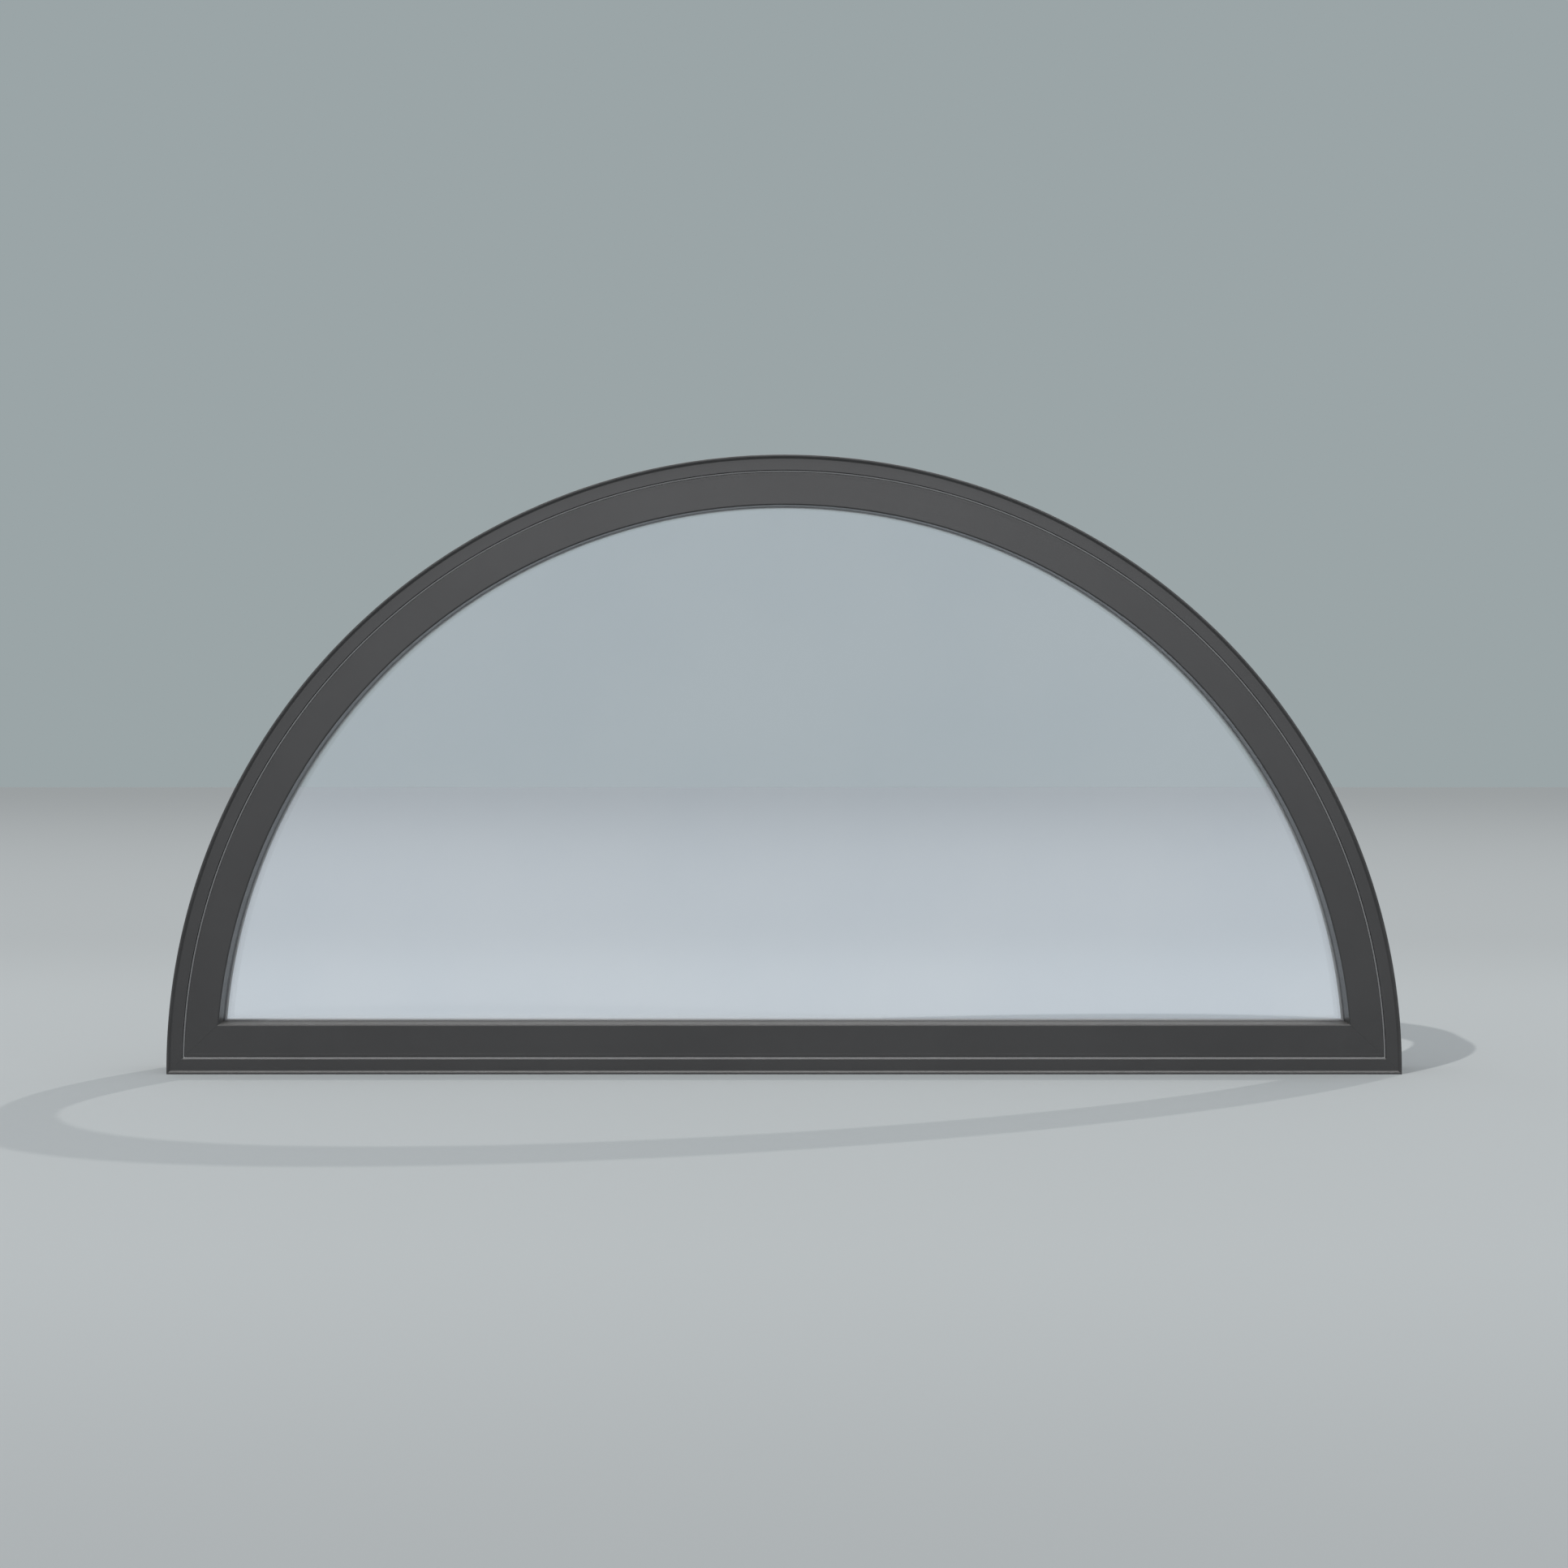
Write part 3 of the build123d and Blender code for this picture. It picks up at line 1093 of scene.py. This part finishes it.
@dataclass(frozen=True)
class Glazing(Assembly):
    """The insulating glass with its spacer, gaskets and glazing bead."""

    pane: float = 4.0
    cavity: float = 12.0
    front: float = 40.0
    pane_edge: float = 52.5
    arris: float = 0.4
    spacer_outer: float = 56.0
    spacer_inner: float = 62.66
    gasket_outer: float = 56.0
    gasket_lip: float = 58.2
    gasket_lip_front: float = 35.1
    gasket_front: float = 38.05
    gasket_slope: float = 0.6
    outer_sight: float = 62.1
    inner_thickness: float = 3.0
    inner_sight: float = 60.0
    pocket: float = 48.5
    bead_sight: float = 59.0
    bead_back: float = 76.0
    bead_bevel: float = 2.0
    clear_of_glass: float = 0.05
    fine_corner: float = 0.3
    inner_gasket_corner: float = 0.5

    @property
    def back(self) -> float:
        """Depth of the insulating glass's inside face."""
        return self.front + 2 * self.pane + self.cavity

    def outer_gasket(self) -> Section:
        """Seal between the sash's outside leg and the glass, with a lip that ends the reveal."""
        back = self.front - self.clear_of_glass
        outline = (
            (self.gasket_outer, self.gasket_front),
            (self.gasket_lip, self.gasket_front),
            (self.gasket_lip, self.gasket_lip_front),
            (self.outer_sight - self.gasket_slope, self.gasket_lip_front),
            (self.outer_sight, back),
            (self.gasket_outer, back),
        )
        return Section(outline, corner=self.fine_corner)

    def inner_gasket(self) -> Section:
        """Seal between the glass and the glazing bead."""
        bead_front = self.back + self.inner_thickness
        front = self.back + self.clear_of_glass
        outline = rectangle(self.gasket_outer, self.inner_sight, front, bead_front)
        return Section(outline, corner=self.inner_gasket_corner)

    def bead(self) -> Section:
        """Hollow bead that holds the glass from inside."""
        bead_front = self.back + self.inner_thickness
        outline = (
            (self.pocket, bead_front),
            (self.bead_sight, bead_front),
            (self.bead_sight, self.bead_back - self.bead_bevel),
            (self.bead_sight - self.bead_bevel, self.bead_back),
            (self.pocket, self.bead_back),
        )
        return Section(outline, (chamber(self.pocket, self.bead_sight, bead_front, self.bead_back),))

    def spacer(self) -> Section:
        """Bar between the panes, its inner face in sight all round the glass."""
        front = self.front + self.pane + self.clear_of_glass
        back = self.front + self.pane + self.cavity - self.clear_of_glass
        outline = rectangle(self.spacer_outer, self.spacer_inner, front, back)
        return Section(outline, corner=self.fine_corner)

    def sheet(self, node: str, front: float) -> bpy.types.Object:
        """Cuts one pane to a half round with ground edges.

        Args:
            node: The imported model's node, also the material slot.
            front: Depth of the pane's outside face.

        Returns:
            The pane.
        """
        maker = MeshMaker()
        arch = ArchRun()
        back = front + self.pane
        inner = self.pane_edge + self.arris
        rings = []
        for inset, depth in (
            (inner, front),
            (self.pane_edge, front + self.arris),
            (self.pane_edge, back - self.arris),
            (inner, back),
        ):
            shares = [n / arch.steps for n in range(arch.steps + 1)]
            rings.append([maker.point(arch.place(inset, depth, share)) for share in shares])
        for ring, beside in zip(rings, rings[1:]):
            for n, number in enumerate(ring):
                after = (n + 1) % len(ring)
                maker.face((number, beside[n], beside[after], ring[after]))
        maker.face(rings[0])
        maker.face(rings[-1][::-1])
        piece = maker.build(node + "_sheet")
        dress(piece, CLEAR_GLASS)
        piece.visible_shadow = False
        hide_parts(node)
        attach(piece, BODY)
        return piece

    def pieces(self) -> Iterable[bpy.types.Object]:
        """Builds the panes, the spacer, the gaskets and the bead."""
        yield self.sheet("outer_pane", self.front)
        yield self.sheet("inner_pane", self.front + self.pane + self.cavity)
        gaskets = (("outer_gasket", self.outer_gasket()), ("inner_gasket", self.inner_gasket()))
        for side, word in ((Side.ARCH, "arch"), (Side.SILL, "bottom")):
            yield Member(f"spacer_{word}", side, (self.spacer(),), SPACER_GREY, "spacer").build()
            for node, gasket in gaskets:
                yield Member(f"{node}_{word}", side, (gasket,), GASKET, "glazing_gasket").build()
        bead = (self.bead(),)
        yield Member("glazing_bead_bottom", Side.SILL, bead, CHARCOAL, "glazing_bead").build()
        yield Member("glazing_bead_arch_left", Side.ARCH_LEFT, bead, CHARCOAL, "glazing_bead").build()
        yield Member("glazing_bead_arch_right", Side.ARCH_RIGHT, bead, CHARCOAL, "glazing_bead").build()


@dataclass(frozen=True)
class HiddenSupports(Assembly):
    """What lies hidden in the window: edge sealant, setting blocks and packers, as the model has them."""

    rounding: float = 0.0006
    rounding_steps: int = 2
    weld_distance: float = 0.00001

    def pieces(self) -> Iterable[bpy.types.Object]:
        """Dresses the nodes, and rounds the blocks and packers."""
        nodes: dict[str, bpy.types.Object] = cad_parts
        dress(nodes["edge_sealant"], SEALANT)
        yield nodes["edge_sealant"]
        for side in ("left", "right"):
            for node, finish in (("setting_block", BLOCK_RUBBER), ("sash_packer", PACKER_PLASTIC)):
                piece = nodes[f"{node}_{side}"]
                dress(piece, finish)
                piece.modifiers.new("weld", "WELD").merge_threshold = self.weld_distance
                bevel = piece.modifiers.new("rounding", "BEVEL")
                bevel.width = self.rounding
                bevel.segments = self.rounding_steps
                yield piece


# Studio


# Any number between no bounce and one
UNDER_ONE_BOUNCE = 0.5


@cache
def metal_pieces() -> bpy.types.Collection:
    """The coated metal and its joint seal, which the softboxes are there for."""
    return bpy.data.collections.new("coated_metal")


def hang(light: bpy.types.Light, place: Vector, way: Vector) -> bpy.types.Object:
    """Hangs a light at a place, so that it shines along a way."""
    lamp = bpy.data.objects.new(light.name, light)
    lamp.location = place
    lamp.rotation_euler = way.to_track_quat("-Z", "Y").to_euler()
    bpy.context.scene.collection.objects.link(lamp)
    return lamp


@dataclass(frozen=True)
class Softbox:
    """A soft white rectangular lamp that points at the window and lights its metal and seal alone.

    Attributes:
        name: The lamp's name.
        place: Where it stands.
        size: Its width and height.
        power: Its power, in watts.
    """

    name: str
    place: Place
    size: Pair
    power: float

    def build(self, target: Vector) -> None:
        """Hangs the lamp and points it at the target."""
        light = bpy.data.lights.new(self.name, "AREA")
        light.shape = "RECTANGLE"
        light.size, light.size_y = self.size
        light.energy = self.power
        lamp = hang(light, Vector(self.place), target - Vector(self.place))
        lamp.visible_camera = False
        lamp.light_linking.receiver_collection = metal_pieces()


@dataclass(frozen=True)
class FarLamp:
    """A small lamp so far away that its light is parallel.

    Attributes:
        name: The lamp's name.
        way: Direction from the window to the lamp.
        strength: Its light on a surface that faces it, in watts a square metre.
        spread: Its apparent width, in degrees.
        colour: Its light.
    """

    name: str
    way: Place
    strength: float
    spread: float
    colour: Colour

    def build(self) -> None:
        """Hangs the lamp. Its light is the same from any distance."""
        light = bpy.data.lights.new(self.name, "SUN")
        light.energy = self.strength
        light.angle = math.radians(self.spread)
        light.color = self.colour
        hang(light, Vector(self.way), -Vector(self.way))


@dataclass(frozen=True)
class Studio:
    """A pale floor, painted darker with distance as painted shade for the lamps' falloff and painted paler
    where seen through glass as a painted reflection, a plain backdrop, soft lamps and the camera.

    Attributes:
        floor_reach: Distance from the window to the far edge of the floor.
        floor_power: How square the floor is.
        floor_corners: Corners of the floor's outline.
        floor_colour: The floor near the window.
        floor_painted_glass_reflection: The same where it is seen through glass, painted paler and a little
            blue as a painted reflection of the glass.
        painted_floor_falloff: Painted shade: where the floor is painted darker along the depth axis,
            standing in for the lamps' falloff, as start, end and the share of light left.
        backdrop: What the camera sees beyond the floor.
        front_light: Soft light low in front of the window.
        back_light: Soft light low behind it.
        top_light: Soft light from above.
        front_to_back: Where the front's light turns into the back's, along the depth axis.
        low_to_top: Where the low light turns into the top's, along the height axis.
        far_lamps: The lamps that cast the window's shadow.
        softboxes: The lamps that shape the metal.
        softbox_target: What they point at.
        camera_place: Where the camera stands.
        camera_tilt: Its angle up from looking straight down.
        lens: Its focal length, in millimetres.
        picture_width: The width of its picture, in millimetres.
        view_reach: How far it sees.
    """

    floor_reach: float = 9.62
    floor_power: float = 6.0
    floor_corners: int = 160
    floor_colour: Colour = (0.78, 0.81, 0.81)
    # Painted reflection: the floor seen through glass is painted paler and bluer in place of the light that
    # the glass reflects
    floor_painted_glass_reflection: Colour = (0.90, 0.95, 1.0)
    # Painted shade: the floor darkened with distance, standing in for the lamps' falloff
    painted_floor_falloff: tuple[tuple[float, float, float], ...] = (
        (0.7, 2.0, 0.91),
        (2.0, 9.6, 0.74),
        (-1.1, -2.4, 0.84),
    )
    backdrop: Colour = (0.327, 0.376, 0.387)
    front_light: Colour = (0.61, 0.66, 0.75)
    back_light: Colour = (0.54, 0.57, 0.59)
    top_light: Colour = (0.36, 0.38, 0.40)
    front_to_back: Pair = (-0.3, 0.3)
    low_to_top: Pair = (0.06, 0.35)
    far_lamps: tuple[FarLamp, ...] = (
        FarLamp("lamp_back_right", (0.61, 0.90, 1.0), 0.41, 0.8, (1.0, 0.98, 0.95)),
        FarLamp("lamp_front_left", (-0.68, -0.75, 1.0), 0.74, 0.8, (1.0, 0.99, 0.97)),
    )
    softboxes: tuple[Softbox, ...] = (
        Softbox("softbox_front", (0.0, -8.0, 2.6), (12.0, 3.4), 340.0),
        Softbox("softbox_top", (0.0, -0.6, 5.0), (4.0, 2.6), 380.0),
        Softbox("softbox_left", (-6.0, 1.6, 0.9), (2.2, 2.2), 25.0),
        Softbox("softbox_right", (6.0, 1.6, 0.9), (2.2, 2.2), 25.0),
    )
    softbox_target: Place = (0.0, 0.0, 0.3)
    camera_place: Place = (-0.00015, -3.6387, 0.4862)
    camera_tilt: float = 87.963
    lens: float = 67.18
    picture_width: float = 36.0
    view_reach: float = 100.0

    def build_floor(self) -> None:
        """Lays the floor, a square with wide round corners."""
        points = []
        for n in range(self.floor_corners):
            angle = 2 * math.pi * n / self.floor_corners
            x, y = math.cos(angle), math.sin(angle)
            spread = (abs(x) ** self.floor_power + abs(y) ** self.floor_power) ** (1 / self.floor_power)
            reach = self.floor_reach / spread
            points.append((x * reach, y * reach, 0))
        mesh = bpy.data.meshes.new("floor")
        mesh.from_pydata(points, [], [tuple(range(self.floor_corners))])
        floor = bpy.data.objects.new("floor", mesh)
        bpy.context.scene.collection.objects.link(floor)
        mesh.materials.append(self.floor_material())
        floor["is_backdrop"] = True

    def floor_material(self) -> bpy.types.Material:
        """Matt pale floor that keeps the window's shadow, with painted shade for the lamps' falloff and a
        painted reflection where it is seen through glass.
        """
        material = bpy.data.materials.new("pale_floor")
        shader = cleared(material)
        place = shader.add("SeparateXYZ")
        shader.join(shader.add("TexCoord").outputs["Object"], place.inputs[0])
        painted_falloff = 1.0
        # Painted shade: the floor's colour darkens with distance along the depth axis, standing in for the
        # lamps' falloff
        for start, end, share in self.painted_floor_falloff:
            painted_falloff = shader.maths("MULTIPLY", painted_falloff, shader.ramp(place.outputs["Y"], (start, end), (1, share)))
        matt = shader.add("BsdfDiffuse")
        # Painted reflection: where the floor is seen through glass it is painted paler and bluer, standing
        # in for the light that the glass reflects
        through = shader.add("LightPath").outputs["Is Transmission Ray"]
        near = shader.blend(through, self.floor_colour, self.floor_painted_glass_reflection)
        shader.join(shader.blend(painted_falloff, (0, 0, 0), near), matt.inputs["Color"])
        shader.join(matt.outputs[0], shader.add("OutputMaterial").inputs["Surface"])
        return material

    def build_world(self) -> None:
        """Sets the soft light all round, and the plain backdrop that the camera sees."""
        world = bpy.data.worlds.new("studio")
        bpy.context.scene.world = world
        shader = cleared(world)
        way = shader.add("SeparateXYZ")
        shader.join(shader.add("TexCoord").outputs["Generated"], way.inputs[0])
        behind = shader.ramp(way.outputs["Y"], self.front_to_back)
        low = shader.blend(behind, self.front_light, self.back_light)
        light = shader.blend(shader.ramp(way.outputs["Z"], self.low_to_top), low, self.top_light)
        path = shader.add("LightPath")
        seen = shader.maths("ADD", path.outputs["Is Camera Ray"], path.outputs["Is Transmission Ray"])
        bounces = shader.maths("ADD", path.outputs["Glossy Depth"], path.outputs["Diffuse Depth"])
        straight = shader.maths("LESS_THAN", bounces, UNDER_ONE_BOUNCE)
        background = shader.add("Background", Strength=1.0)
        shown = shader.maths("MULTIPLY", seen, straight)
        shader.join(shader.blend(shown, light, self.backdrop), background.inputs["Color"])
        shader.join(background.outputs[0], shader.add("OutputWorld").inputs["Surface"])

    def build_camera(self) -> None:
        """Places the camera where the photograph was taken from."""
        camera = bpy.data.cameras.new("camera")
        camera.lens = self.lens
        camera.sensor_width = self.picture_width
        camera.clip_end = self.view_reach
        holder = bpy.data.objects.new("camera", camera)
        holder.location = self.camera_place
        holder.rotation_euler = (math.radians(self.camera_tilt), 0, 0)
        bpy.context.scene.collection.objects.link(holder)
        bpy.context.scene.camera = holder

    def build(self) -> None:
        """Sets up the whole studio."""
        bpy.context.scene.view_settings.view_transform = "Standard"
        self.build_camera()
        self.build_world()
        self.build_floor()
        for far_lamp in self.far_lamps:
            far_lamp.build()
        for softbox in self.softboxes:
            softbox.build(Vector(self.softbox_target))


def write_sizes() -> None:
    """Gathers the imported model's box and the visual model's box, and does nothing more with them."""
    boxes = {"cad": CAD_BOX, "visual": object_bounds()}
    {name: [list(low), list(high)] for name, (low, high) in boxes.items()}


def main() -> None:
    """Builds the studio, then the window from the wall inward."""
    logging.basicConfig(level=logging.INFO, format="%(name)s: %(message)s")
    Studio().build()
    for assembly in (OuterFrame(), Sash(), Glazing(), HiddenSupports()):
        for piece in assembly.pieces():
            log.info("%s: %s, %d faces", type(assembly).__name__, piece.name, len(piece.data.polygons))
    bpy.context.view_layer.update()
    write_sizes()


if __name__ == "__main__":
    main()
